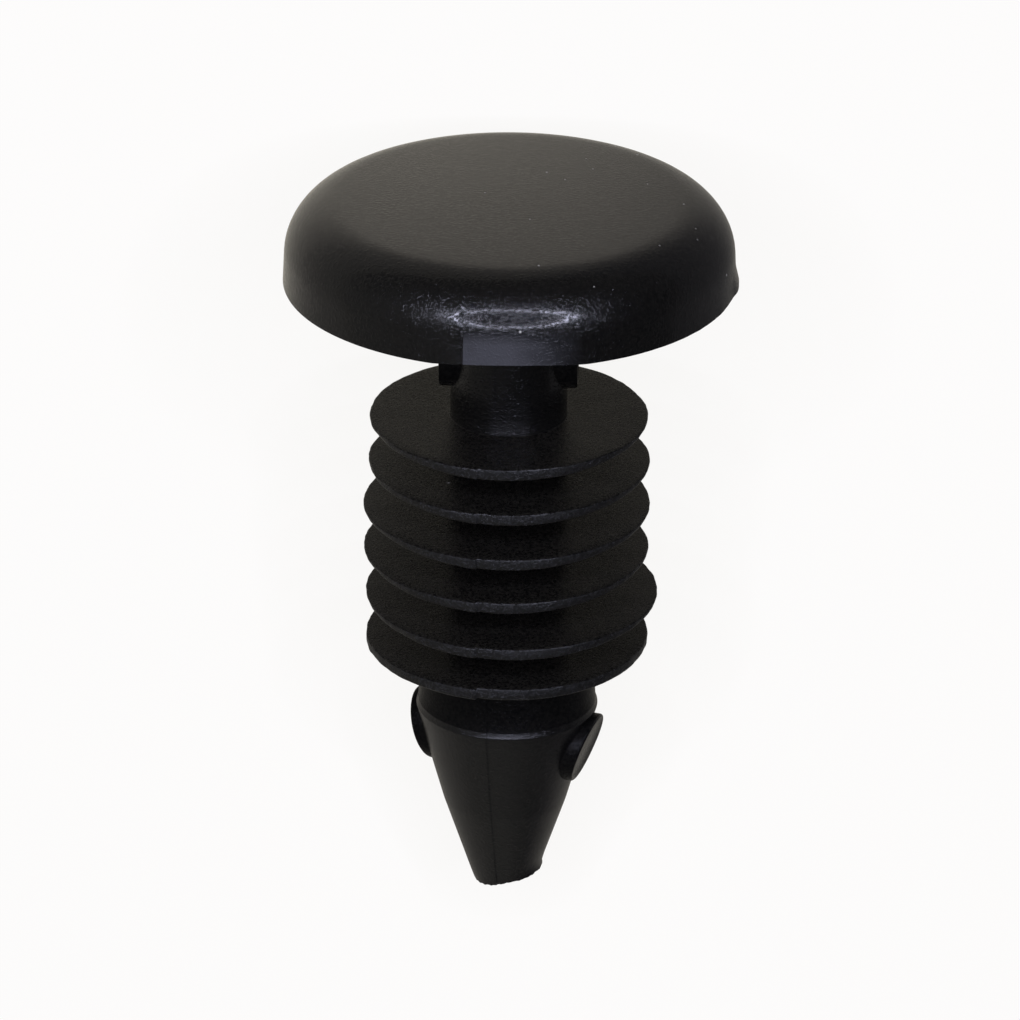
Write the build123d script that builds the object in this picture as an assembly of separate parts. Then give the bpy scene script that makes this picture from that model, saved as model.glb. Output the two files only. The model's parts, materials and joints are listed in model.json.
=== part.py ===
from build123d import *
from math import atan2, cos, degrees, radians, sin, tan
import os

# A push-in weatherstrip retainer, moulded in one piece of black nylon.
# It is drawn along its own axis: the underside of the head is the plane Z = 0, the head stands above it
# and the stem runs down to the point. Its front is -Y. Sizes are millimetres and angles are degrees.
# At the end it is laid on its side, where it comes to rest on the rim of the head and on its last fin.

# Head
head_diameter = 12.7
head_height = 2.5
crown_rise = 0.18
head_edge_radius = 1.6
side_draft = 2.5
rim_chamfer = 0.03

# Neck
neck_diameter = 3.3
neck_length = 4.13
seat_fillet = 0.45

# Fins
fin_count = 6
fin_diameter = 7.94
fin_pitch = 1.35
fin_rim_thickness = 0.3
fin_root_thickness = 0.5
fin_rim_chamfer = 0.05

# Point: a short band under the last fin, then a slim bullet with a blunt end
band_top_diameter = 4.9
band_length = 1.75
shoulder_diameter = 5.1
shoulder_round = 0.12
bullet_length = 5.74
belly_diameter = 3.54
belly_drop = 2.98
tip_diameter = 1.73
tip_slant = 14.0

# The two halves of the mould meet in a plane through the axis, turned this far from the plane X = 0
mould_turn = -12.0

# Round pads left by the ejector pins, a pair on the neck and a pair on the bullet
pad_diameter = 2.04
neck_pad_depth = 2.2
neck_pad_proud = 0.15
bullet_pad_drop = 1.05
bullet_pad_proud = 0.29

head_radius = head_diameter / 2
neck_radius = neck_diameter / 2
fin_radius = fin_diameter / 2
band_top_radius = band_top_diameter / 2
shoulder_radius = shoulder_diameter / 2
belly_radius = belly_diameter / 2
tip_radius = tip_diameter / 2
crown_edge_height = head_height - crown_rise
crown_radius = head_radius - crown_edge_height * tan(radians(side_draft))
fin_tops = [-neck_length - number * fin_pitch for number in range(fin_count)]
band_top = fin_tops[-1] - fin_root_thickness
shoulder = band_top - band_length
tip = shoulder - bullet_length


# The corners of a section that lie at the given places
def corners(section, places):
    return [section.vertices().sort_by_distance(place)[0] for place in places]


# Half of the lengthwise section, from the axis outward, with Y as the height
def half_section():
    crown = TangentArc((0, head_height), (crown_radius, crown_edge_height), tangent=(1, 0))
    side = [(crown_radius, crown_edge_height), (head_radius, 0), (neck_radius, 0)]
    for top in fin_tops:
        side += [(neck_radius, top), (fin_radius, top), (fin_radius, top - fin_rim_thickness)]
        if top is not fin_tops[-1]:
            side.append((neck_radius, top - fin_root_thickness))
    side += [(band_top_radius, band_top), (shoulder_radius, shoulder)]
    side += [(belly_radius, shoulder - belly_drop), (tip_radius, tip), (0, tip), (0, head_height)]
    section = make_face(crown + Polyline(*side))

    rims = [(fin_radius, top) for top in fin_tops]
    rims += [(fin_radius, top - fin_rim_thickness) for top in fin_tops]
    section = fillet(corners(section, [(crown_radius, crown_edge_height)]), head_edge_radius)
    section = chamfer(corners(section, [(head_radius, 0)]), rim_chamfer)
    section = fillet(corners(section, [(neck_radius, 0)]), seat_fillet)
    section = chamfer(corners(section, rims), fin_rim_chamfer)
    return fillet(corners(section, [(shoulder_radius, shoulder)]), shoulder_round)


# A round pad on a post that grows from the axis along +X, cut off flat at `reach`.
# The flat leans down by `lean`, as the surface that it stands on does.
def pad(height, reach, lean):
    post = Pos(0, 0, height) * Rot(0, 90, 0) * extrude(Circle(pad_diameter / 2), 2 * reach)
    outward = (cos(radians(lean)), 0, -sin(radians(lean)))
    return split(post, Plane(origin=(reach, 0, height), z_dir=outward), keep=Keep.BOTTOM)


def retainer_upright():
    body = revolve(Plane.YZ * half_section(), Axis.Z)
    bullet_lean = degrees(atan2(shoulder_radius - belly_radius, belly_drop))
    bullet_radius = shoulder_radius - bullet_pad_drop * tan(radians(bullet_lean))
    pads = pad(-neck_pad_depth, neck_radius + neck_pad_proud, 0)
    pads += pad(shoulder - bullet_pad_drop, bullet_radius + bullet_pad_proud, bullet_lean)
    for half_turn in (0, 180):
        body += Rot(0, 0, half_turn) * pads
    body = Rot(0, 0, mould_turn) * body
    # The gate was broken off at a slant, lowest at the left
    end = Plane(origin=(-tip_radius, 0, tip), z_dir=(sin(radians(tip_slant)), 0, -cos(radians(tip_slant))))
    return split(body, end, keep=Keep.BOTTOM)


# The floor touches the rim of the head and the lower edge of the last fin
lean = degrees(atan2(head_radius - fin_radius, fin_rim_thickness - fin_tops[-1]))
retainer = Rot(lean - 90, 0, 0) * retainer_upright()
retainer.label = "retainer"

os.makedirs("parts", exist_ok=True)
export_step(retainer, "parts/retainer.step")
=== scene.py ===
import json
import math

import bmesh
import bpy
from mathutils import Matrix, Vector, noise


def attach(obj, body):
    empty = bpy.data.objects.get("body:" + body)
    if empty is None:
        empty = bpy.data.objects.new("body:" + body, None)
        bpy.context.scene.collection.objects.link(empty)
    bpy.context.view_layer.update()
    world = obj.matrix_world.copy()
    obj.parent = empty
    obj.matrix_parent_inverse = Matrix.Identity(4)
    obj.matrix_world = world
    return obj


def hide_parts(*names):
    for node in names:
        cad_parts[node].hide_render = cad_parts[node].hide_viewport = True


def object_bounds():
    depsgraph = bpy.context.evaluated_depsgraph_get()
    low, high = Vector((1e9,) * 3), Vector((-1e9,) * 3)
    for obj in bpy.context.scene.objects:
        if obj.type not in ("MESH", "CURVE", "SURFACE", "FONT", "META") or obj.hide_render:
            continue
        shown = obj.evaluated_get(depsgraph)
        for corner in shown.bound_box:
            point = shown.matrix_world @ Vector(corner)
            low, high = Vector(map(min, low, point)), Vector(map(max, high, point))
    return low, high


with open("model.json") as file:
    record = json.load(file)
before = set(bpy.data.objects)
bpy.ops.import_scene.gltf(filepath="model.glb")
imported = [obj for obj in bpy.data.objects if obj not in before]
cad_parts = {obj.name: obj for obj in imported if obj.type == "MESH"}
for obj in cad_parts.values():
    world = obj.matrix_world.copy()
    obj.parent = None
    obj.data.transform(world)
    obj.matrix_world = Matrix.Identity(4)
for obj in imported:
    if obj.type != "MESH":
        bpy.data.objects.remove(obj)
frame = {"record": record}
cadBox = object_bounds()
mm = 0.001

# The retainer lies on its side. Its mounts say where its own axis is: the pin frame has the underside
# of the head at height 0, the head above it, the stem below, and the front of the photograph at -Y.
mounts = {mount["name"]: mount for mount in frame["record"]["mounts"]}
towardHead = -Vector(mounts["head_seat"]["axis"]).normalized()
acrossPin = Vector((1, 0, 0))
pinBack = towardHead.cross(acrossPin)
layDown = Matrix((acrossPin, pinBack, towardHead)).transposed().to_4x4()
layDown.translation = Vector(mounts["head_seat"]["pos_m"])

# Real sizes in millimetres, angles in degrees
pin = {
    "headRadius": 6.35, "headHeight": 2.5, "crownRise": 0.18, "headEdge": 1.6, "edgeSegments": 14,
    "sideDraft": 2.5, "rimBand": 0.08, "rimInset": 0.05,
    "neckRadius": 1.65, "neckLength": 4.13, "seatFillet": 0.45, "seatSegments": 7,
    "finCount": 6, "finRadius": mounts["fins"]["dims"]["r_mm"], "finPitch": 1.35, "finSlack": 0.01,
    "rimHeight": 0.34, "rootHeight": 0.5, "finRound": 0.05, "finSegments": 3,
    "bandTopRadius": 2.45, "bandLength": 1.75, "shoulderRadius": 2.55,
    "lipHeight": 0.16, "lipReach": 0.05, "lipUndercut": 0.01, "lipRound": 0.06, "lipSegments": 4,
    "bulletLength": 5.69, "bellyRadius": 1.77, "bellyDrop": 2.98, "bellyRound": 2.5, "bellySegments": 5,
    "tipRadius": 0.865, "tipEdge": 0.08, "tipFlare": 0.02, "mouldTurn": -11.5,
    "diskRings": 9, "spinSteps": 320, "spinSlices": 16, "longestEdge": 0.5, "mergeDistance": 0.0005,
    "sharpAngle": 38.0,
}


def headSide(height):
    return pin["headRadius"] - height * math.tan(math.radians(pin["sideDraft"]))


def finTop(number):
    return -pin["neckLength"] - number * pin["finPitch"]


# Half of the section, from the crown to the tip, as corners: radius, height, rounding radius, its segments
def sectionCorners():
    crownEdge = pin["headHeight"] - pin["crownRise"]
    crownRim = headSide(crownEdge)
    crownBend = (crownRim ** 2 + pin["crownRise"] ** 2) / (2 * pin["crownRise"])
    rings = pin["diskRings"]
    corners = []
    for ring in range(rings):
        radius = (crownRim - pin["headEdge"]) * ring / rings
        sink = crownBend - math.sqrt(crownBend ** 2 - radius ** 2)
        corners.append((radius, pin["headHeight"] - sink, 0, 0))
    corners.append((crownRim, crownEdge, pin["headEdge"], pin["edgeSegments"]))
    corners.append((headSide(pin["rimBand"]), pin["rimBand"], 0, 0))
    corners.append((pin["headRadius"], 0.0, 0, 0))
    corners.append((pin["headRadius"] - pin["rimInset"], 0.0, 0, 0))
    corners.append((pin["neckRadius"], 0.0, pin["seatFillet"], pin["seatSegments"]))
    rounding = (pin["finRound"], pin["finSegments"])
    for number in range(pin["finCount"]):
        top = finTop(number)
        corners.append((pin["neckRadius"], top, *rounding))
        corners.append((pin["finRadius"], top, *rounding))
        corners.append((pin["finRadius"], top - pin["rimHeight"], *rounding))
        if number < pin["finCount"] - 1:
            corners.append((pin["neckRadius"], top - pin["rootHeight"], *rounding))
    bandTop = top - pin["rootHeight"]
    shoulder = bandTop - pin["bandLength"]
    tip = shoulder - pin["bulletLength"]
    corners.append((pin["bandTopRadius"], bandTop, *rounding))
    corners.append((pin["shoulderRadius"] - pin["lipUndercut"], shoulder + pin["lipHeight"], 0, 0))
    corners.append((pin["shoulderRadius"] + pin["lipReach"], shoulder, pin["lipRound"], pin["lipSegments"]))
    corners.append((pin["bellyRadius"], shoulder - pin["bellyDrop"], pin["bellyRound"], pin["bellySegments"]))
    corners.append((pin["tipRadius"] + pin["tipFlare"], tip + pin["tipEdge"], 0, 0))
    for ring in range(rings):
        corners.append((pin["tipRadius"] * (1 - ring / rings), tip, 0, 0))
    corners.append((0.0, tip, 0, 0))
    return corners, shoulder, tip


def spinSection(bm):
    corners, shoulder, tip = sectionCorners()
    points = [bm.verts.new((0, radius, height)) for radius, height, rounding, segments in corners]
    for first, second in zip(points, points[1:]):
        bm.edges.new((first, second))
    turns = {}
    for before, here, after in zip(points, points[1:], points[2:]):
        turns[here] = (here.co - before.co).angle(after.co - here.co)
    for point, (radius, height, rounding, segments) in zip(points, corners):
        if rounding:
            offset = rounding * math.tan(turns[point] / 2)
            bmesh.ops.bevel(bm, geom=[point], offset=offset, offset_type="OFFSET", affect="VERTICES",
                            segments=segments, profile=0.5, material=-1)
    longEdges = [edge for edge in bm.edges if edge.calc_length() > pin["longestEdge"]]
    while longEdges:
        bmesh.ops.subdivide_edges(bm, edges=longEdges, cuts=1)
        longEdges = [edge for edge in bm.edges if edge.calc_length() > pin["longestEdge"]]
    # One slice is spun and then repeated, which is far quicker than one long spin
    slices = pin["spinSlices"]
    sliceAngle = 2 * math.pi / slices
    bmesh.ops.spin(bm, geom=bm.verts[:] + bm.edges[:], cent=(0, 0, 0), axis=(0, 0, 1), angle=sliceAngle,
                   steps=pin["spinSteps"] // slices, use_merge=False)
    first = bm.verts[:] + bm.edges[:] + bm.faces[:]
    for number in range(1, slices):
        copied = bmesh.ops.duplicate(bm, geom=first)["geom"]
        verts = [part for part in copied if isinstance(part, bmesh.types.BMVert)]
        bmesh.ops.rotate(bm, cent=(0, 0, 0), matrix=Matrix.Rotation(number * sliceAngle, 3, "Z"), verts=verts)
    bmesh.ops.remove_doubles(bm, verts=bm.verts[:], dist=pin["mergeDistance"])
    bmesh.ops.recalc_face_normals(bm, faces=bm.faces[:])
    return shoulder, tip


def newObject(bm, name):
    mesh = bpy.data.meshes.new(name)
    bm.to_mesh(mesh)
    bm.free()
    piece = bpy.data.objects.new(name, mesh)
    bpy.context.scene.collection.objects.link(piece)
    return piece


def smoothStep(low, high, value):
    share = min(max((value - low) / (high - low), 0.0), 1.0)
    return share * share * (3 - 2 * share)


# Which fin a height belongs to, or None
def finAt(height):
    for number in range(pin["finCount"]):
        top = finTop(number)
        if top - pin["rootHeight"] - pin["finSlack"] <= height <= top + pin["finSlack"]:
            return number
    return None


# How the gate broke off: at a slant, lowest at the left, with a rough end and a burr at the right.
# The pairs are distances in millimetres between which a change fades in or out.
brokenTip = {
    "slant": 16.5, "slantFade": (0.1, 2.0), "endFade": (0.02, 0.12),
    "unevenness": 0.05, "coarseWaves": 4.0, "fineWaves": 11.0, "fineShare": 0.5,
    "cornerRise": 0.06, "cornerFade": (0.5, 0.86),
    "burr": 0.06, "burrRim": (0.7, 0.8), "burrFade": (0.2, 0.7),
}


def breakTip(bm, tip):
    turn = math.radians(pin["mouldTurn"])
    slope = math.tan(math.radians(brokenTip["slant"]))
    taper = (pin["bellyRadius"] - pin["tipRadius"]) / (pin["bulletLength"] - pin["bellyDrop"])
    slantStart, slantEnd = brokenTip["slantFade"]
    for vert in bm.verts:
        near = 1 - smoothStep(tip + slantStart, tip + slantEnd, vert.co.z)
        if near > 0:
            across = vert.co.x * math.cos(turn) - vert.co.y * math.sin(turn)
            # What rises also widens, so that the side keeps its taper
            rise = near * slope * (across + pin["tipRadius"])
            wider = 1 + rise * taper / (pin["tipRadius"] + (vert.co.z - tip) * taper)
            vert.co = Vector((vert.co.x * wider, vert.co.y * wider, vert.co.z + rise))
            depth = vert.co.z - tip - slope * (across + pin["tipRadius"])
            end = 1 - smoothStep(*brokenTip["endFade"], depth)
            uneven = noise.noise(vert.co * brokenTip["coarseWaves"])
            uneven += brokenTip["fineShare"] * noise.noise(vert.co * brokenTip["fineWaves"])
            corner = brokenTip["cornerRise"] * smoothStep(*brokenTip["cornerFade"], -across)
            vert.co.z += end * (brokenTip["unevenness"] * uneven + corner)
            rim = end * smoothStep(*brokenTip["burrRim"], math.hypot(vert.co.x, vert.co.y))
            vert.co.x += rim * brokenTip["burr"] * smoothStep(*brokenTip["burrFade"], across)


# The rim of the head: a flat rubbed into the middle of its front, and flash squeezed out of the mould.
# The flash fades between pairs of azimuths in radians: the front is at -1.57 and the right at 0.
headRim = {
    "slack": 0.001, "flatDepth": 0.1, "flatReach": 2.1, "flatHeight": 0.8, "flatFade": (4.0, 6.0),
    "flash": 0.02, "flashHeight": 0.13, "flashInset": 0.01, "flashStart": (-1.25, -0.75),
    "flashEnd": (-0.1, 0.12), "sliverStart": (-0.22, -0.12), "sliverEnd": (-0.02, 0.06), "sliverShare": 3.5,
    "evenShare": 0.08, "raggedShare": 0.45, "leastRagged": 0.1,
    "coarseShare": 0.5, "coarseWaves": 6.0, "fineShare": 0.6, "fineWaves": 22.0,
}


def ageHeadRim(vert, outward, radius, azimuth):
    lowest = -headRim["slack"]
    if lowest < vert.co.z < headRim["flatHeight"] and vert.co.y < 0 and radius > headRim["flatFade"][0]:
        flat = max(1 - (radius * math.cos(azimuth) / headRim["flatReach"]) ** 2, 0)
        low = 1 - smoothStep(0, headRim["flatHeight"], vert.co.z)
        vert.co.z += headRim["flatDepth"] * flat * low * smoothStep(*headRim["flatFade"], radius)
    if lowest < vert.co.z < headRim["flashHeight"] and radius > pin["headRadius"] - headRim["flashInset"]:
        side = smoothStep(*headRim["flashStart"], azimuth) * (1 - smoothStep(*headRim["flashEnd"], azimuth))
        coarse = noise.noise(outward * headRim["coarseWaves"])
        fine = noise.noise(outward * headRim["fineWaves"])
        ragged = headRim["raggedShare"] + headRim["coarseShare"] * coarse + headRim["fineShare"] * fine
        sliver = smoothStep(*headRim["sliverStart"], azimuth)
        sliver *= 1 - smoothStep(*headRim["sliverEnd"], azimuth)
        share = side * max(ragged, headRim["leastRagged"]) + headRim["evenShare"]
        vert.co += outward * headRim["flash"] * (share + headRim["sliverShare"] * sliver)


# How this one came out of its mould. Each list goes from the fin under the head to the last one:
# reach past the true radius, push to the right, rise of the underside at the sides, step at the parting line.
moulding = {
    "finReach": [-0.04, 0.0, 0.09, 0.07, 0.18, 0.03],
    "finPush": [0.0, 0.02, -0.03, -0.05, 0.13, -0.02], "pushTurn": 25.0,
    "sideThinning": [0.25, 0.25, 0.25, 0.25, 0.25, 0.09],
    "mismatch": [0.01, 0.015, 0.03, 0.02, 0.03, 0.045],
    "axisReach": 0.001, "coreReach": 0.02, "rimWobble": 0.03, "rimWaves": 2.6, "rimSeed": 7.3,
    "fineShare": 0.6, "fineWaves": 14.0, "fineStretch": 3.0,
    "faceWobble": 0.012, "faceWaves": 4.0, "faceSeed": 3.1, "faceStart": 9.0,
    "bulletShift": -0.04, "shiftFade": 2.0,
    "lineShift": -0.07, "lineHalfWidth": 0.022, "lineStep": 0.03, "lineFade": 0.5, "lineInner": 0.5,
    "lineTop": 0.6, "stepFade": 1.5, "stepRim": (-0.25, -0.1),
}


# Uneven fins with wavy rims and faces, and a bullet that stands a little to the left
def ageMoulding(bm, shoulder):
    span = pin["finRadius"] - pin["neckRadius"]
    for vert in bm.verts:
        radius = math.hypot(vert.co.x, vert.co.y)
        if radius < moulding["axisReach"]:
            continue
        outward = Vector((vert.co.x, vert.co.y, 0)) / radius
        azimuth = math.radians(pin["mouldTurn"]) + math.atan2(outward.y, outward.x)
        number = finAt(vert.co.z)
        shift = 0.0
        if number is not None and radius > pin["neckRadius"] + moulding["coreReach"]:
            share = (radius - pin["neckRadius"]) / span
            pushed = math.cos(azimuth + math.radians(moulding["pushTurn"]))
            push = moulding["finReach"][number] + moulding["finPush"][number] * pushed
            wave = noise.noise(outward * moulding["rimWaves"] + Vector((0, 0, moulding["rimSeed"] * number)))
            along = Vector((0, 0, vert.co.z * moulding["fineStretch"]))
            fine = noise.noise(outward * moulding["fineWaves"] + along)
            shift = share * (push + moulding["rimWobble"] * (wave + moulding["fineShare"] * fine))
            # The undersides rise to both sides, so a fin is thickest in front, the last one less so
            if finTop(number) - vert.co.z > 0.5 * pin["rimHeight"]:
                vert.co.z += moulding["sideThinning"][number] * (share * math.cos(azimuth)) ** 2
            start = Vector((moulding["faceSeed"] * number, 0, moulding["faceStart"]))
            wave = noise.noise(outward * moulding["faceWaves"] + start)
            vert.co.z += moulding["faceWobble"] * share * wave
        vert.co += outward * shift
        upper = smoothStep(shoulder - moulding["shiftFade"], shoulder, vert.co.z)
        vert.co.x += moulding["bulletShift"] * (1 - upper)
        ageHeadRim(vert, outward, radius, azimuth)


# The two halves of the mould met in a plane, which left a fine line down the front and steps in the rims
def partHalves(bm):
    line, half = moulding["lineShift"], moulding["lineHalfWidth"]
    for side in (line - half, line + half):
        bmesh.ops.bisect_plane(bm, geom=bm.verts[:] + bm.edges[:] + bm.faces[:], plane_co=(side, 0, 0),
                               plane_no=(1, 0, 0))
    for vert in bm.verts:
        radius = math.hypot(vert.co.x, vert.co.y)
        if radius < moulding["lineInner"] or vert.co.z > pin["headHeight"] - moulding["lineTop"]:
            continue
        away = vert.co.x - line
        side = max(min(away / half, 1), -1)
        # The left half stands a hair proud, which draws a fine dark line down the front
        near = 1 - smoothStep(half, moulding["lineFade"], abs(away))
        proud = 1 - 0.5 * moulding["lineStep"] * side * near / radius
        vert.co.x *= proud
        vert.co.y *= proud
        # The halves also met a little out of line lengthwise, which shows as a step in each rim
        number = finAt(vert.co.z)
        if number is not None:
            inner, outer = moulding["stepRim"]
            rim = smoothStep(pin["finRadius"] + inner, pin["finRadius"] + outer, radius)
            close = 1 - smoothStep(half, moulding["stepFade"], abs(away))
            vert.co.z += 0.5 * moulding["mismatch"][number] * rim * side * close


# Witness pads of the ejector pins, one pair on the neck and one on the bullet
pads = {
    "radius": 1.02, "segments": 56, "postStart": 0.4, "frontFrom": 0.5,
    "neckTurn": -2.0, "neckDrop": 2.2, "neckProud": 0.3,
    "bulletTurn": -20.0, "bulletDrop": 1.08, "bulletProud": 0.21, "bulletLean": 17.0,
    "rimRound": 0.07, "rimSegments": 3, "dishDepth": 0.05, "dishRim": 0.1,
}


def frontFace(bm):
    ahead = [face for face in bm.faces if face.calc_center_median().x > pads["frontFrom"]]
    return max(ahead, key=lambda face: face.calc_area())


def makePads(shoulder):
    taper = math.atan2(pin["shoulderRadius"] - pin["bellyRadius"], pin["bellyDrop"])
    bulletRadius = pin["shoulderRadius"] - pads["bulletDrop"] * math.tan(taper)
    neckReach = pin["neckRadius"] + pads["neckProud"]
    bulletReach = bulletRadius + pads["bulletProud"]
    places = [
        (-pads["neckDrop"], neckReach, 0.0, pads["neckTurn"]),
        (shoulder - pads["bulletDrop"], bulletReach, math.radians(pads["bulletLean"]), pads["bulletTurn"]),
    ]
    posts = []
    for height, reach, lean, padTurn in places:
        for halfTurn in (0, math.pi):
            bm = bmesh.new()
            depth = reach - pads["postStart"]
            made = bmesh.ops.create_cone(bm, cap_ends=True, cap_tris=False, segments=pads["segments"],
                                         radius1=pads["radius"], radius2=pads["radius"], depth=depth)
            verts = made["verts"]
            # The post lies along +X, its face is sheared to lean with the bullet
            outward = Matrix.Translation((0, 0, depth / 2 + pads["postStart"]))
            bmesh.ops.transform(bm, matrix=outward, verts=verts)
            bmesh.ops.transform(bm, matrix=Matrix.Rotation(math.pi / 2, 4, "Y"), verts=verts)
            for vert in verts:
                if vert.co.x > pads["frontFrom"]:
                    vert.co.x += vert.co.z * math.tan(lean)
            bmesh.ops.bevel(bm, geom=frontFace(bm).edges[:], offset=pads["rimRound"], offset_type="OFFSET",
                            affect="EDGES", segments=pads["rimSegments"], profile=0.5, material=-1)
            face = frontFace(bm)
            bmesh.ops.inset_region(bm, faces=[face], thickness=pads["dishRim"], use_even_offset=True)
            bmesh.ops.translate(bm, vec=(-pads["dishDepth"], 0, 0), verts=face.verts[:])
            bmesh.ops.translate(bm, vec=(0, 0, height), verts=bm.verts[:])
            turn = halfTurn + math.radians(padTurn - pin["mouldTurn"])
            bmesh.ops.rotate(bm, cent=(0, 0, 0), matrix=Matrix.Rotation(turn, 3, "Z"), verts=bm.verts[:])
            bmesh.ops.recalc_face_normals(bm, faces=bm.faces[:])
            posts.append(newObject(bm, "padPost"))
    return posts


# Material slots, where their finishes meet in millimetres, and the cosine below which a face is a wall
slots = {"satin": 0, "matt": 1, "dead": 2, "rimDepth": 0.3, "rootReach": 0.1, "wallBelow": 0.7}


# Satin skin, matt faces of the fins and the band, matt walls of the bullet's pads, dead black neck pads
def chooseFinish(mesh, shoulder):
    neckTurn = math.radians(pads["neckTurn"] - pin["mouldTurn"])
    bulletTurn = math.radians(pads["bulletTurn"] - pin["mouldTurn"])
    neckSide = Vector((-math.sin(neckTurn), math.cos(neckTurn), 0))
    bulletSide = Vector((-math.sin(bulletTurn), math.cos(bulletTurn), 0))
    padAxis = Vector((math.cos(bulletTurn), math.sin(bulletTurn), 0))
    for face in mesh.polygons:
        center = face.center
        radius = math.hypot(center.x, center.y)
        onRim = radius > pin["finRadius"] - slots["rimDepth"] and abs(face.normal.z) < slots["wallBelow"]
        onStem = shoulder + pin["lipHeight"] < center.z < -pin["neckLength"] + slots["rootReach"]
        fromNeckPad = math.hypot(center.dot(neckSide), center.z + pads["neckDrop"])
        fromBulletPad = math.hypot(center.dot(bulletSide), center.z - shoulder + pads["bulletDrop"])
        padWall = fromBulletPad < pads["radius"] and abs(face.normal.dot(padAxis)) < slots["wallBelow"]
        face.material_index = slots["satin"]
        if (onStem and not onRim) or padWall:
            face.material_index = slots["matt"]
        if fromNeckPad < pads["radius"]:
            face.material_index = slots["dead"]


def makeRetainer():
    bm = bmesh.new()
    shoulder, tip = spinSection(bm)
    breakTip(bm, tip)
    ageMoulding(bm, shoulder)
    partHalves(bm)
    bmesh.ops.triangulate(bm, faces=[face for face in bm.faces if len(face.verts) > 4])
    bmesh.ops.recalc_face_normals(bm, faces=bm.faces[:])
    print("body", len(bm.verts), "vertices", len(bm.faces), "faces")
    body = newObject(bm, "retainerBody")
    posts = makePads(shoulder)
    for post in posts:
        union = body.modifiers.new("pad", "BOOLEAN")
        union.operation = "UNION"
        union.solver = "EXACT"
        union.object = post
    depsgraph = bpy.context.evaluated_depsgraph_get()
    mesh = bpy.data.meshes.new_from_object(body.evaluated_get(depsgraph))
    triangles = sum(len(face.vertices) - 2 for face in mesh.polygons)
    print("joined", len(mesh.polygons), "faces", triangles, "triangles")
    for used in [body] + posts:
        bpy.data.objects.remove(used)
    mesh.materials.clear()
    chooseFinish(mesh, shoulder)
    place = layDown @ Matrix.Rotation(math.radians(pin["mouldTurn"]), 4, "Z") @ Matrix.Scale(mm, 4)
    mesh.transform(place)
    mesh.name = "mouldedRetainer"
    mesh.polygons.foreach_set("use_smooth", [True] * len(mesh.polygons))
    mesh.set_sharp_from_angle(angle=math.radians(pin["sharpAngle"]))
    piece = bpy.data.objects.new("mouldedRetainer", mesh)
    bpy.context.scene.collection.objects.link(piece)
    return piece


def linear(hexColour):
    values = [int(hexColour[place:place + 2], 16) / 255 for place in (1, 3, 5)]
    values = [value / 12.92 if value <= 0.04045 else ((value + 0.055) / 1.055) ** 2.4 for value in values]
    return values + [1.0]


# Adds a node, sets its sockets and properties, and links what is another node's output
def addNode(tree, kind, inputs=None, **settings):
    node = tree.nodes.new(kind)
    for name, value in settings.items():
        setattr(node, name, value)
    for name, value in (inputs or {}).items():
        if isinstance(value, bpy.types.NodeSocket):
            tree.links.new(value, node.inputs[name])
        else:
            node.inputs[name].default_value = value
    return node


# A pair of values as the start and end of what a mask fades between
def fade(pair):
    return {"From Min": pair[0], "From Max": pair[1]}


# Sizes and depths are millimetres. Pairs are the values between which a mask fades in. The paler colour of
# the rubbed patch is partly a painted sheen: it stands in for the glow of the ring lamps.
finish = {
    "blackColour": "#090909", "grimyColour": "#2C2A25", "wornColour": "#39393C", "dustColour": "#B9B7AF",
    "ior": 1.45, "satinLevel": 0.5, "mattLevel": 0.06, "deadLevel": 0.01,
    "headRoughness": 0.12, "stemRoughness": 0.14, "bulletRoughness": 0.22, "rimRoughness": 0.34,
    "wornRoughness": 0.5, "pitRoughness": 0.36, "cloudRoughness": 0.05, "dustRoughness": 0.5,
    "headFade": (-0.4, -0.1), "bulletFade": (-0.1, -0.4), "wallFade": (0.75, 0.5), "rimFade": (-0.4, -0.3),
    "cloudSize": 1.6, "cloudDetail": 4.0, "grainSize": 0.1, "grainDetail": 4.0, "grainSharpness": 0.75,
    "grimeFade": (0.38, 0.7), "skinGrime": 0.25, "pitFade": (0.38, 0.62), "finGrain": 0.02,
    "skinGrain": 0.0012, "halfFade": (-0.01, 0.01), "wornAcross": (3.2, 1.28), "wornUp": (1.1, 0.65),
    "wornClouds": (0.25, 0.5), "leastWorn": 0.4,
    "sparkSize": 0.07, "sparkDetail": 2.0, "sparkSharpness": 0.6, "sparkFade": (0.5, 0.75),
    "sparkDepth": 0.0065, "rimSpark": 0.02,
    "dustSpacing": 0.8, "dustSize": 0.05, "smallestDust": 0.5, "dustCore": 0.4, "palestDust": 1.0,
    "faintestDust": 0.35, "dustHead": 1.0, "dustElsewhere": 0.15,
}


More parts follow.
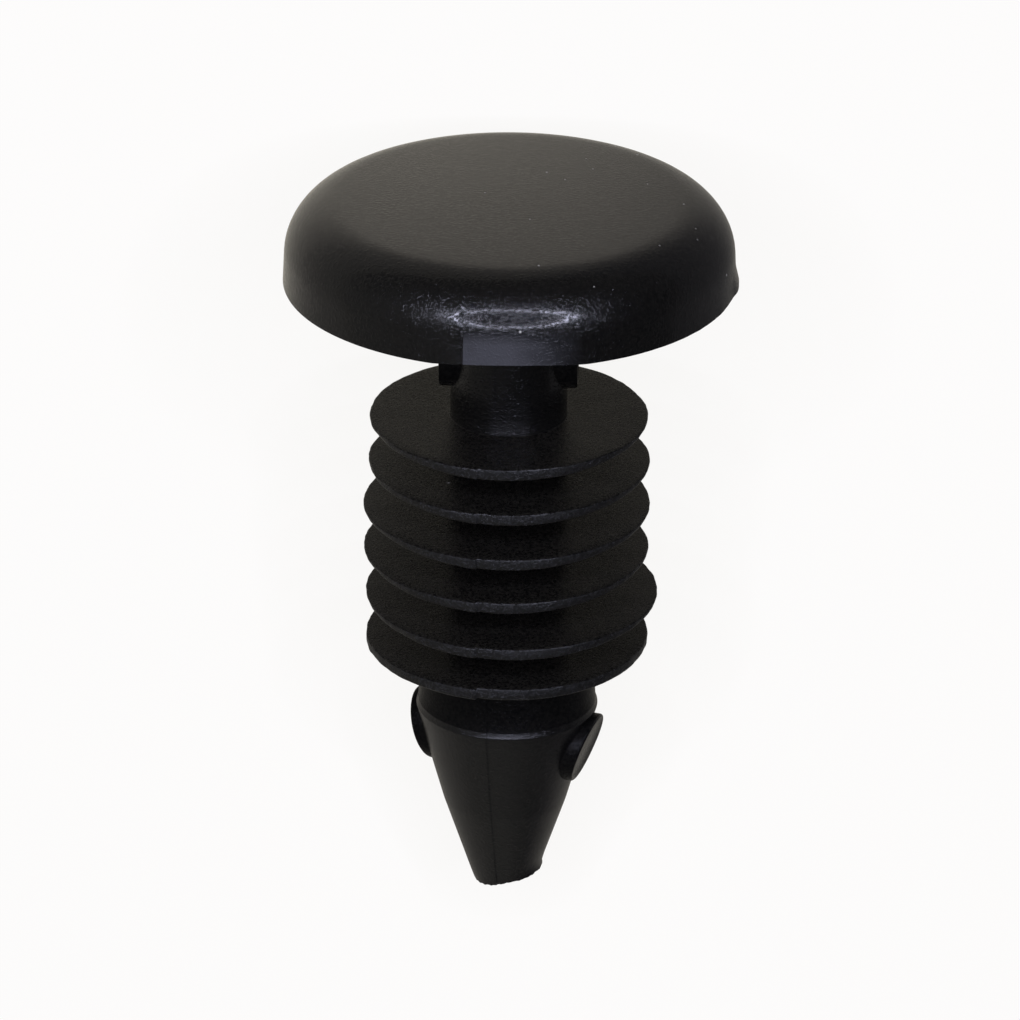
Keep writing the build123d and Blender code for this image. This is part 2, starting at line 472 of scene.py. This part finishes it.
# Nylon 6/6 with carbon black, injection moulded: near black, satin on the head, the bullet and the fins'
# rough rims, matt and grained between the fins, and dust that shows as pale specks. The level is the slot's:
# satin, matt, or dead black for the neck's pads.
def mouldedBlackNylon(name, specularLevel):
    material = bpy.data.materials.new(name)
    material.use_nodes = True
    tree = material.node_tree
    tree.nodes.clear()

    # Where a point lies on the pin, in millimetres: its height, its distance from the axis, its mould half
    given = addNode(tree, "ShaderNodeTexCoord").outputs
    place = addNode(tree, "ShaderNodeVectorMath", {0: given["Object"], "Scale": 1 / mm}, operation="SCALE")
    place = place.outputs["Vector"]
    height = addNode(tree, "ShaderNodeVectorMath", {0: place, 1: towardHead}, operation="DOT_PRODUCT")
    height = height.outputs["Value"]
    fromAxis = addNode(tree, "ShaderNodeVectorMath", {0: place, 1: towardHead}, operation="CROSS_PRODUCT")
    radius = addNode(tree, "ShaderNodeVectorMath", {0: fromAxis.outputs["Vector"]}, operation="LENGTH")
    radius = radius.outputs["Value"]
    mouldTurn = Matrix.Rotation(math.radians(pin["mouldTurn"]), 3, "Z")
    mouldAcross = layDown.to_3x3() @ mouldTurn @ Vector((1, 0, 0))
    half = addNode(tree, "ShaderNodeVectorMath", {0: place, 1: mouldAcross}, operation="DOT_PRODUCT")
    half = half.outputs["Value"]
    facing = addNode(tree, "ShaderNodeVectorMath", {0: given["Normal"], 1: towardHead},
                     operation="DOT_PRODUCT").outputs["Value"]
    facing = addNode(tree, "ShaderNodeMath", {0: facing}, operation="ABSOLUTE").outputs["Value"]

    # Masks for the head, the bullet, the walls that stand along the axis, and the fins' rims
    finsEnd = finTop(pin["finCount"] - 1) - pin["rimHeight"]
    onHead = addNode(tree, "ShaderNodeMapRange", {"Value": height, **fade(finish["headFade"])})
    onHead = onHead.outputs["Result"]
    bulletFade = [finsEnd + reach for reach in finish["bulletFade"]]
    onBullet = addNode(tree, "ShaderNodeMapRange", {"Value": height, **fade(bulletFade)}).outputs["Result"]
    smooth = addNode(tree, "ShaderNodeMath", {0: onHead, 1: onBullet}, operation="ADD", use_clamp=True)
    smooth = smooth.outputs["Value"]
    wall = addNode(tree, "ShaderNodeMapRange", {"Value": facing, **fade(finish["wallFade"])})
    wall = wall.outputs["Result"]
    rimFade = [pin["finRadius"] + reach for reach in finish["rimFade"]]
    outer = addNode(tree, "ShaderNodeMapRange", {"Value": radius, **fade(rimFade)}).outputs["Result"]
    rim = addNode(tree, "ShaderNodeMath", {0: wall, 1: outer}, operation="MULTIPLY").outputs["Value"]
    rim = addNode(tree, "ShaderNodeMath", {0: rim, 1: onHead}, operation="SUBTRACT", use_clamp=True)
    rim = rim.outputs["Value"]
    finFace = addNode(tree, "ShaderNodeMath", {0: wall, 1: smooth}, operation="MAXIMUM").outputs["Value"]

    # Patterns, each at its own real size
    cloudy = addNode(tree, "ShaderNodeTexNoise", {"Vector": place, "Scale": 1 / finish["cloudSize"],
                                                  "Detail": finish["cloudDetail"]}).outputs["Fac"]
    grain = addNode(tree, "ShaderNodeTexNoise", {"Vector": place, "Scale": 1 / finish["grainSize"],
                                                 "Detail": finish["grainDetail"],
                                                 "Roughness": finish["grainSharpness"]}).outputs["Fac"]
    spark = addNode(tree, "ShaderNodeTexNoise", {"Vector": place, "Scale": 1 / finish["sparkSize"],
                                                 "Detail": finish["sparkDetail"],
                                                 "Roughness": finish["sparkSharpness"]}).outputs["Fac"]
    spark = addNode(tree, "ShaderNodeMapRange", {"Value": spark, **fade(finish["sparkFade"])})
    spark = spark.outputs["Result"]

    # The head's side is rubbed just right of the parting line, more in some places than in others: it is
    # rougher there, and its colour is lightened as a painted sheen of the ring lamps' glow
    rightHalf = addNode(tree, "ShaderNodeMapRange", {"Value": half, **fade(finish["halfFade"])})
    across = addNode(tree, "ShaderNodeMapRange", {"Value": half, **fade(finish["wornAcross"])})
    up = addNode(tree, "ShaderNodeMapRange", {"Value": height, **fade(finish["wornUp"])})
    patchy = addNode(tree, "ShaderNodeMapRange", {"Value": cloudy, **fade(finish["wornClouds"]),
                                                  "To Min": finish["leastWorn"]})
    wornSheen = onHead
    for part in (rightHalf, across, up, patchy):
        wornSheen = addNode(tree, "ShaderNodeMath", {0: wornSheen, 1: part.outputs["Result"]}, operation="MULTIPLY")
        wornSheen = wornSheen.outputs["Value"]

    # Dust specks of several sizes and tones, on all cells of the pattern on the head and on few elsewhere
    dust = addNode(tree, "ShaderNodeTexVoronoi", {"Vector": place, "Scale": 1 / finish["dustSpacing"]},
                   feature="F1")
    dustReach = finish["dustSize"] / finish["dustSpacing"]
    random = addNode(tree, "ShaderNodeSeparateColor", {"Color": dust.outputs["Color"]}).outputs
    reach = addNode(tree, "ShaderNodeMapRange", {"Value": random["Green"], "To Max": dustReach,
                                                 "To Min": finish["smallestDust"] * dustReach})
    speck = addNode(tree, "ShaderNodeMapRange", {"Value": dust.outputs["Distance"],
                                                 "From Min": reach.outputs["Result"],
                                                 "From Max": finish["dustCore"] * dustReach})
    speck = speck.outputs["Result"]
    needed = addNode(tree, "ShaderNodeMapRange", {"Value": onHead, "To Min": 1 - finish["dustElsewhere"],
                                                  "To Max": 1 - finish["dustHead"]})
    chosen = addNode(tree, "ShaderNodeMath", {0: random["Red"], 1: needed.outputs["Result"]},
                     operation="GREATER_THAN")
    paleness = addNode(tree, "ShaderNodeMapRange", {"Value": random["Blue"], "To Min": finish["faintestDust"],
                                                    "To Max": finish["palestDust"]})
    for part in (chosen.outputs["Value"], paleness.outputs["Result"]):
        speck = addNode(tree, "ShaderNodeMath", {0: speck, 1: part}, operation="MULTIPLY").outputs["Value"]

    # Colour: grimy in the grain of the fins' faces, greyer with a painted sheen where it is rubbed, and pale
    # in the specks
    grime = addNode(tree, "ShaderNodeMapRange", {"Value": grain, **fade(finish["grimeFade"])})
    share = addNode(tree, "ShaderNodeMapRange", {"Value": finFace, "To Min": 1.0,
                                                 "To Max": finish["skinGrime"]})
    grime = addNode(tree, "ShaderNodeMath", {0: grime.outputs["Result"], 1: share.outputs["Result"]},
                    operation="MULTIPLY").outputs["Value"]
    colour = addNode(tree, "ShaderNodeMix", {0: grime, 6: linear(finish["blackColour"]),
                                             7: linear(finish["grimyColour"])}, data_type="RGBA")
    for mask, tone in ((wornSheen, "wornColour"), (speck, "dustColour")):
        colour = addNode(tree, "ShaderNodeMix", {0: mask, 6: colour.outputs[2], 7: linear(finish[tone])},
                         data_type="RGBA")

    # Gloss: stem, bullet and head each have their own, pits, rubbed places, rims and specks are rougher
    rough = addNode(tree, "ShaderNodeMix", {0: onBullet, 2: finish["stemRoughness"],
                                            3: finish["bulletRoughness"]})
    rough = addNode(tree, "ShaderNodeMix", {0: onHead, 2: rough.outputs[0], 3: finish["headRoughness"]})
    pits = addNode(tree, "ShaderNodeMapRange", {"Value": grain, **fade(finish["pitFade"])}).outputs["Result"]
    pits = addNode(tree, "ShaderNodeMath", {0: pits, 1: finFace}, operation="SUBTRACT", use_clamp=True)
    for mask, roughness in ((pits.outputs["Value"], "pitRoughness"), (wornSheen, "wornRoughness"),
                            (rim, "rimRoughness")):
        rough = addNode(tree, "ShaderNodeMix", {0: mask, 2: rough.outputs[0], 3: finish[roughness]})
    rough = addNode(tree, "ShaderNodeMath", {0: cloudy, 1: finish["cloudRoughness"], 2: rough.outputs[0]},
                    operation="MULTIPLY_ADD").outputs["Value"]
    rough = addNode(tree, "ShaderNodeMath", {0: speck, 1: finish["dustRoughness"], 2: rough},
                    operation="MULTIPLY_ADD", use_clamp=True).outputs["Value"]

    # Relief: a grain, deepest on the fins' faces, and sharp sparks, deepest on the rims
    depth = addNode(tree, "ShaderNodeMapRange", {"Value": finFace, "To Min": finish["finGrain"] * mm,
                                                 "To Max": finish["skinGrain"] * mm}).outputs["Result"]
    bump = addNode(tree, "ShaderNodeBump", {"Height": grain, "Distance": depth, "Strength": 1.0})
    depth = addNode(tree, "ShaderNodeMapRange", {"Value": rim, "To Min": finish["sparkDepth"] * mm,
                                                 "To Max": finish["rimSpark"] * mm}).outputs["Result"]
    bump = addNode(tree, "ShaderNodeBump", {"Height": spark, "Distance": depth, "Strength": 1.0,
                                            "Normal": bump.outputs["Normal"]})
    shader = addNode(tree, "ShaderNodeBsdfPrincipled", {"Base Color": colour.outputs[2], "Roughness": rough,
                                                        "IOR": finish["ior"],
                                                        "Specular IOR Level": specularLevel,
                                                        "Normal": bump.outputs["Normal"]})
    addNode(tree, "ShaderNodeOutputMaterial", {"Surface": shader.outputs["BSDF"]})
    return material


# Where the photograph was taken from: lens, sensor and distances in millimetres, angles in degrees
view = {
    "lens": 286.15, "sensor": 36.0, "elevation": 24.585, "distance": 230.04, "aimHeight": -7.135,
    "aimAcross": 0.0535, "roll": 0.3671, "clipStart": 10.0,
}


# From the front of the pin frame, raised by the elevation
def placeCamera():
    rise = math.radians(view["elevation"])
    aim = Vector((view["aimAcross"], 0, view["aimHeight"])) * mm
    toward = Vector((0, -math.cos(rise), math.sin(rise)))
    up = Vector((0, math.sin(rise), math.cos(rise)))
    right = Vector((1, 0, 0))
    basis = Matrix((right, up, toward)).transposed()
    basis = basis @ Matrix.Rotation(math.radians(view["roll"]), 3, "Z")
    place = Matrix.Translation(aim + toward * view["distance"] * mm) @ basis.to_4x4()
    camera = bpy.data.objects.new("camera", bpy.data.cameras.new("camera"))
    camera.data.lens = view["lens"]
    camera.data.sensor_width = view["sensor"]
    camera.data.clip_start = view["clipStart"] * mm
    camera.matrix_world = layDown @ place
    bpy.context.scene.collection.objects.link(camera)
    bpy.context.scene.camera = camera
    return camera, layDown @ aim


# The painted board under the retainer. In reflections it glows as a painted pool of light behind the head,
# which dims further out and to the right. Pairs are distances in millimetres: outward from that pool of white
# behind the head, and to the right.
board = {
    "halfSize": 1200.0, "paintColour": "#FAF7EF", "whiteColour": "#FFFEFC", "whiteShare": 0.9,
    "mirroredColour": "#FFF7E4", "mirroredWhite": 0.63, "poolAcross": -4.0, "poolBehind": 4.0,
    "poolFade": (2.0, 16.0), "poolRest": 0.4, "rightFade": (2.0, 15.0), "rightShare": 0.2,
}


def makeFloor():
    bm = bmesh.new()
    bmesh.ops.create_grid(bm, x_segments=1, y_segments=1, size=board["halfSize"] * mm)
    bmesh.ops.translate(bm, vec=(0, 0, cadBox[0][2]), verts=bm.verts[:])
    floor = newObject(bm, "floor")
    material = bpy.data.materials.new("paintedBoard")
    material.use_nodes = True
    tree = material.node_tree
    tree.nodes.clear()
    lit = addNode(tree, "ShaderNodeBsdfDiffuse", {"Color": linear(board["paintColour"])})
    # Painted reflection: in the gloss the white is a glowing pool of light behind the head, which dims
    # further out and to the right
    place = addNode(tree, "ShaderNodeTexCoord").outputs["Object"]
    middle = Vector((board["poolAcross"] * mm, board["poolBehind"] * mm, cadBox[0][2]))
    away = addNode(tree, "ShaderNodeVectorMath", {0: place, 1: middle}, operation="DISTANCE").outputs["Value"]
    poolFade = [reach * mm for reach in board["poolFade"]]
    pool = addNode(tree, "ShaderNodeMapRange", {"Value": away, **fade(poolFade),
                                                "To Min": board["mirroredWhite"],
                                                "To Max": board["mirroredWhite"] * board["poolRest"]})
    across = addNode(tree, "ShaderNodeSeparateXYZ", {"Vector": place}).outputs["X"]
    rightFade = [reach * mm for reach in board["rightFade"]]
    dimming = addNode(tree, "ShaderNodeMapRange", {"Value": across, **fade(rightFade), "To Min": 1.0,
                                                   "To Max": board["rightShare"]},
                      interpolation_type="SMOOTHSTEP")
    paintedReflection = addNode(tree, "ShaderNodeMath", {0: pool.outputs["Result"], 1: dimming.outputs["Result"]},
                       operation="MULTIPLY").outputs["Value"]
    path = addNode(tree, "ShaderNodeLightPath").outputs
    strength = addNode(tree, "ShaderNodeMath", {0: paintedReflection, 1: path["Is Camera Ray"]}, operation="MAXIMUM")
    tone = addNode(tree, "ShaderNodeMix", {0: path["Is Camera Ray"], 6: linear(board["mirroredColour"]),
                                           7: linear(board["whiteColour"])}, data_type="RGBA")
    white = addNode(tree, "ShaderNodeEmission", {"Color": tone.outputs[2],
                                                 "Strength": strength.outputs["Value"]})
    seen = addNode(tree, "ShaderNodeMath", {0: path["Is Camera Ray"], 1: path["Is Glossy Ray"]},
                   operation="ADD").outputs["Value"]
    seen = addNode(tree, "ShaderNodeMath", {0: seen, 1: path["Is Transmission Ray"]}, operation="ADD",
                   use_clamp=True).outputs["Value"]
    share = addNode(tree, "ShaderNodeMath", {0: seen, 1: board["whiteShare"]}, operation="MULTIPLY")
    painted = addNode(tree, "ShaderNodeMixShader", {0: share.outputs["Value"], 1: lit.outputs["BSDF"],
                                                    2: white.outputs["Emission"]})
    addNode(tree, "ShaderNodeOutputMaterial", {"Surface": painted.outputs["Shader"]})
    floor.data.materials.append(material)


# A ring of small lamps round the camera, its reach in degrees and its distances in metres, in a soft room.
# The room's colours go from left to right. The point points at a bench, which dims to the right, and behind
# the head is a wall. Pairs are the directions between which they fade in.
room = {
    "ringLamps": 28, "ringWide": 29.0, "ringTall": 16.5, "ringDistance": 0.26, "lampSize": 0.012,
    "lampWatts": 0.027, "lampColour": "#E2E5FF",
    "wallColours": {0.0: "#807E7A", 0.2: "#6B6966", 0.42: "#343332", 0.65: "#1C1C1C", 1.0: "#343331"},
    "benchColour": "#908E88", "benchFade": (-0.55, -0.95), "benchRightFade": (0.02, 0.5), "benchRight": 0.5,
    "behindColour": "#54524F", "behindFade": (0.2, 0.9),
}


def makeLights(camera, aim):
    toCamera = (camera.location - aim).normalized()
    side = toCamera.cross(Vector((0, 1, 0))).normalized()
    upward = side.cross(toCamera)
    wide, tall = math.tan(math.radians(room["ringWide"])), math.tan(math.radians(room["ringTall"]))
    for number in range(room["ringLamps"]):
        turn = 2 * math.pi * (number + 0.5) / room["ringLamps"]
        toward = (toCamera + wide * math.cos(turn) * side + tall * math.sin(turn) * upward).normalized()
        light = bpy.data.lights.new("ringLamp", "AREA")
        light.shape = "DISK"
        light.size = room["lampSize"]
        light.energy = room["lampWatts"]
        light.color = linear(room["lampColour"])[:3]
        lamp = bpy.data.objects.new("ringLamp", light)
        lamp.location = aim + toward * room["ringDistance"]
        lamp.rotation_euler = toward.to_track_quat("Z", "Y").to_euler()
        bpy.context.scene.collection.objects.link(lamp)


def makeWorld():
    world = bpy.data.worlds.new("softRoom")
    bpy.context.scene.world = world
    world.use_nodes = True
    tree = world.node_tree
    tree.nodes.clear()
    direction = addNode(tree, "ShaderNodeTexCoord").outputs["Generated"]
    direction = addNode(tree, "ShaderNodeSeparateXYZ", {"Vector": direction}).outputs
    across = addNode(tree, "ShaderNodeMapRange", {"Value": direction["X"], **fade((-1.0, 1.0))})
    walls = addNode(tree, "ShaderNodeValToRGB", {"Fac": across.outputs["Result"]})
    stops = walls.color_ramp.elements
    for position in list(room["wallColours"])[1:-1]:
        stops.new(position)
    for stop, colour in zip(stops, room["wallColours"].values()):
        stop.color = linear(colour)
    behind = addNode(tree, "ShaderNodeMapRange", {"Value": direction["Y"], **fade(room["behindFade"])})
    walls = addNode(tree, "ShaderNodeMix", {0: behind.outputs["Result"], 6: walls.outputs["Color"],
                                            7: linear(room["behindColour"])}, data_type="RGBA")
    bench = addNode(tree, "ShaderNodeMapRange", {"Value": direction["Y"], **fade(room["benchFade"])})
    dimming = addNode(tree, "ShaderNodeMapRange", {"Value": direction["X"], **fade(room["benchRightFade"]),
                                                   "To Min": 1.0, "To Max": room["benchRight"]})
    bench = addNode(tree, "ShaderNodeMath", {0: bench.outputs["Result"], 1: dimming.outputs["Result"]},
                    operation="MULTIPLY")
    walls = addNode(tree, "ShaderNodeMix", {0: bench.outputs["Value"], 6: walls.outputs[2],
                                            7: linear(room["benchColour"])}, data_type="RGBA")
    glow = addNode(tree, "ShaderNodeBackground", {"Color": walls.outputs[2], "Strength": 1.0})
    addNode(tree, "ShaderNodeOutputWorld", {"Surface": glow.outputs["Background"]})


camera, aim = placeCamera()
makeFloor()
makeLights(camera, aim)
makeWorld()
print("studio ready")

retainer = makeRetainer()
retainer.data.materials.append(mouldedBlackNylon("satinBlackNylon", finish["satinLevel"]))
retainer.data.materials.append(mouldedBlackNylon("mattBlackNylon", finish["mattLevel"]))
retainer.data.materials.append(mouldedBlackNylon("deadBlackNylon", finish["deadLevel"]))
print("retainer", len(retainer.data.polygons), "faces")
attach(retainer, "root")
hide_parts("retainer")

bpy.context.scene.view_settings.view_transform = "Standard"
